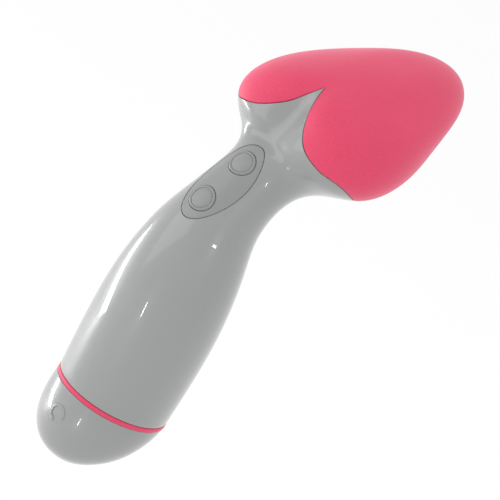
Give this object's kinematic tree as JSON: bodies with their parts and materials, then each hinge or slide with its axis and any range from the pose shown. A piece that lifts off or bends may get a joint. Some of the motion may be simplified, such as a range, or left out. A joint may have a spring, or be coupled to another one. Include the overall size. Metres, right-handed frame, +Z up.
{
  "type": "handheld wand massager",
  "caption": "Cordless handheld wand massager: a rounded battery handle with a bent neck, oval two-button keypad and a soft heart-shaped vibrating head.",
  "frame": {"origin": "the middle of the grip, on the barrel's axis, 45 mm above the plane where the end cap meets the barrel", "axes": "+Z up along the barrel towards the head; +X to the right as the keypad is faced; +Y to the back, the way the neck bends and the point of the heart reaches"},
  "size_m": [0.0656, 0.1054, 0.1737],
  "materials": {
    "shell_gloss": "high-gloss light grey ABS",
    "pink_silicone": "matte soft-touch silicone",
    "inner_plastic": "natural moulded ABS",
    "keypad_satin": "satin grey",
    "dark_plastic": "black moulding",
    "board_green": "solder-masked laminate",
    "capacitor_sleeve": "heat-shrunk sleeve",
    "motor_steel": "drawn zinc-plated steel",
    "magnet": "sintered ferrite",
    "copper": "copper winding over laminations",
    "screw_steel": "plated steel",
    "weight_brass": "turned brass",
    "black_rubber": "matte rubber",
    "spring_steel": "nickel-plated spring steel",
    "holder_plastic": "black moulding",
    "cell_jacket": "printed steel jacket, plain",
    "lead_red": "PVC insulation",
    "lead_black": "PVC insulation"
  },
  "bodies": {
    "handle": {"handle_shell": "shell_gloss", "head_cover": "pink_silicone", "head_core": "inner_plastic", "head_screws": "screw_steel", "keypad_plate": "keypad_satin", "switch_bodies": "dark_plastic", "circuit_board": "board_green", "board_screws": "screw_steel", "controller_chip": "dark_plastic", "capacitor": "capacitor_sleeve", "motor_can": "motor_steel", "motor_end_bell": "dark_plastic", "motor_magnets": "magnet", "motor_sleeve": "black_rubber", "motor_cradle": "inner_plastic", "cradle_screws": "screw_steel", "motor_strap": "spring_steel", "strap_screws": "screw_steel", "battery_holder": "holder_plastic", "holder_screws": "screw_steel", "battery_left": "cell_jacket", "battery_right": "cell_jacket", "positive_contact": "spring_steel", "negative_spring": "spring_steel", "motor_leads": "lead_red", "battery_leads": "lead_black"},
    "power_button": {"power_button": "keypad_satin", "power_plunger": "dark_plastic"},
    "speed_button": {"speed_button": "keypad_satin", "speed_plunger": "dark_plastic"},
    "motor_rotor": {"motor_shaft": "screw_steel", "motor_armature": "copper", "eccentric_weight": "weight_brass"},
    "end_cap": {"end_cap": "shell_gloss", "seal_ring": "pink_silicone", "cap_o_ring": "black_rubber", "bridge_plate": "spring_steel"}
  },
  "joints": [
    {"name": "power_press", "type": "slide", "parent": "handle", "child": "power_button", "axis": [0, 0.8607, -0.509], "range_m": [0, 0.0006], "stiffness_N_per_m": 2500},
    {"name": "speed_press", "type": "slide", "parent": "handle", "child": "speed_button", "axis": [0, 0.8607, -0.509], "range_m": [0, 0.0006], "stiffness_N_per_m": 2500},
    {"name": "motor_spin", "type": "hinge", "parent": "handle", "child": "motor_rotor", "pos_m": [0, 0.03, 0.0725], "axis": [0, 1, 0], "continuous": true},
    {"name": "cap_twist", "type": "hinge", "parent": "handle", "child": "end_cap", "pos_m": [0, 0, -0.045], "axis": [0, 0, 1], "range_deg": [0, 40]}
  ]
}
